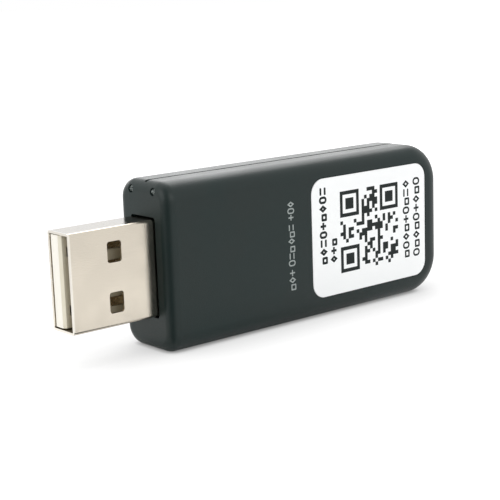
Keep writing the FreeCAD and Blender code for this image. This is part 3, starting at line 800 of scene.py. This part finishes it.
def floor_material(studio):
    """A white floor with the stick's shadow, partly painted and partly real, which fades to plain white far
    away.

    The camera sees its glow with a painted shadow, dimmed near the stick by ambient occlusion at two
    reaches, and a little real light and shadow on top.
    Reflections see the studio's dark side in it: as paint near the stick, as a glow clear of it.
    """
    fade_start, fade_end, fade_glow = 0.09, 0.30, 0.6
    base_glow, contact_glow, wide_glow, wide_reach = 0.17, 0.24, 0.51, studio.contact * 16
    clear_start, clear_end = 0.02, 0.07
    material = bpy.data.materials.new("floor")
    material.use_nodes = True
    tree = material.node_tree
    tree.nodes.clear()
    path = tree.nodes.new("ShaderNodeLightPath").outputs
    place = tree.nodes.new("ShaderNodeNewGeometry").outputs["Position"]
    far = ramp_node(tree, vector_node(tree, "LENGTH", place, None, "Value"), fade_start, fade_end)
    glow = base_glow
    # Painted shadow: the glow drops where ambient occlusion finds the stick within each reach.
    for reach, share in ((studio.contact, contact_glow), (wide_reach, wide_glow)):
        open_sky = tree.nodes.new("ShaderNodeAmbientOcclusion")
        open_sky.inputs["Distance"].default_value = reach
        glow = math_node(tree, "ADD", math_node(tree, "MULTIPLY", open_sky.outputs["AO"], share), glow)
    glow = math_node(tree, "ADD", glow, math_node(tree, "MULTIPLY", far, fade_glow))
    camera = tree.nodes.new("ShaderNodeAddShader")
    for socket, value in zip(camera.inputs, (
            shader_node(tree, "ShaderNodeBsdfDiffuse", Color=(0.22, 0.22, 0.22, 1)),
            shader_node(tree, "ShaderNodeEmission", Strength=glow))):
        tree.links.new(value, socket)
    corner = vector_node(tree, "SUBTRACT", place, (MOUTH, CASE_LOW.y, 0))
    shade = math_node(tree, "MULTIPLY", dark_side(tree, corner, studio), studio.haze)
    away = vector_node(tree, "LENGTH", corner, None, "Value")
    clear = ramp_node(tree, away, clear_start, clear_end)
    mirror = mix_shaders(tree, clear, shader_node(tree, "ShaderNodeBsdfDiffuse", Color=shade),
                         shader_node(tree, "ShaderNodeEmission", Strength=shade))
    bounce = shader_node(tree, "ShaderNodeBsdfDiffuse", Color=(*studio.floor, 1))
    reflected = math_node(tree, "MAXIMUM", path["Is Glossy Ray"], path["Is Transmission Ray"])
    rest = mix_shaders(tree, reflected, bounce, mirror)
    output = tree.nodes.new("ShaderNodeOutputMaterial")
    tree.links.new(mix_shaders(tree, path["Is Camera Ray"], rest, camera.outputs[0]),
                   output.inputs["Surface"])
    return material


# Each soft box: its name, place, width and height in metres, and power in watts
SOFT_BOXES = (
    ("top_box", (-0.05, 0.12, 0.50), (0.45, 0.45), 0.35),
    ("back_box", (0.172, 0.455, 0.14), (0.54, 0.20), 0.44),
    ("left_box", (-0.45, 0.05, 0.22), (0.35, 0.35), 0.6),
    ("right_box", (0.272, 0.245, 0.341), (0.30, 0.28), 0.66),
    ("front_box", (-0.06, -0.52, 0.32), (0.50, 0.40), 0.7),
)


def soft_light(name, place, size, power):
    """A soft box that looks at the stick and isn't seen by the camera."""
    data = bpy.data.lights.new(name, "AREA")
    data.shape = "RECTANGLE"
    data.size, data.size_y = size
    data.energy = power
    light = bpy.data.objects.new(name, data)
    light.location = place
    aim = Vector((0, 0, MIDDLE)) - Vector(place)
    light.rotation_euler = aim.to_track_quat("-Z", "Y").to_euler()
    light.visible_camera = False
    bpy.context.scene.collection.objects.link(light)


class STICK_OT_stage(bpy.types.Operator):
    """White floor, soft lights and the camera"""
    bl_idname = "stick.stage"
    bl_label = "Stage"

    def execute(self, context):
        studio = context.scene.stick_studio
        floor_radius = 3.0
        builder = bmesh.new()
        bmesh.ops.create_circle(builder, cap_ends=True, radius=floor_radius, segments=64)
        mesh = bpy.data.meshes.new("floor")
        builder.to_mesh(mesh)
        builder.free()
        floor = bpy.data.objects.new("floor", mesh)
        mesh.materials.append(floor_material(studio))
        context.scene.collection.objects.link(floor)
        make_world(studio)
        for box in SOFT_BOXES:
            soft_light(*box)
        data = bpy.data.cameras.new("camera")
        data.sensor_width = 36
        data.lens = studio.lens
        data.clip_start, data.clip_end = 0.01, 20
        camera = bpy.data.objects.new("camera", data)
        context.scene.collection.objects.link(camera)
        turn = Matrix.Rotation(studio.turn, 4, "Z") @ Matrix.Rotation(math.pi / 2 - studio.rise, 4, "X")
        camera.matrix_world = Matrix.Translation(studio.place) @ turn @ Matrix.Rotation(studio.roll, 4, "Z")
        context.scene.camera = camera
        context.scene.view_settings.view_transform = "Standard"
        return {"FINISHED"}


class STICK_PT_panel(bpy.types.Panel):
    """Lists the steps that finish the data stick"""
    bl_idname = "STICK_PT_panel"
    bl_label = "Wifi data stick"
    bl_space_type = "VIEW_3D"
    bl_region_type = "UI"
    bl_category = "Data stick"

    def draw(self, context):
        scene = context.scene
        for step in STEPS:
            self.layout.operator(step.bl_idname)
        for settings in (scene.stick_case, scene.stick_plug, scene.stick_print, scene.stick_studio):
            box = self.layout.box()
            for name in settings.__annotations__:
                box.prop(settings, name)


LOOKS = {"stick_case": CaseLook, "stick_plug": PlugLook, "stick_print": PrintLook,
         "stick_studio": StudioLook}
STEPS = (STICK_OT_stage, STICK_OT_case, STICK_OT_gate_stubs, STICK_OT_plug, STICK_OT_label,
         STICK_OT_label_print, STICK_OT_lamp_marks, STICK_OT_boards, STICK_OT_chips,
         STICK_OT_small_parts)


def register():
    for group in LOOKS.values():
        bpy.utils.register_class(group)
    for step in STEPS:
        bpy.utils.register_class(step)
    bpy.utils.register_class(STICK_PT_panel)
    for name, group in LOOKS.items():
        setattr(bpy.types.Scene, name, bpy.props.PointerProperty(type=group))


def unregister():
    for name in LOOKS:
        delattr(bpy.types.Scene, name)
    bpy.utils.unregister_class(STICK_PT_panel)
    for step in reversed(STEPS):
        bpy.utils.unregister_class(step)
    for group in reversed(LOOKS.values()):
        bpy.utils.unregister_class(group)


def main():
    register()
    for step in STEPS:
        family, name = step.bl_idname.split(".")
        getattr(getattr(bpy.ops, family), name)()


if __name__ == "__main__":
    main()
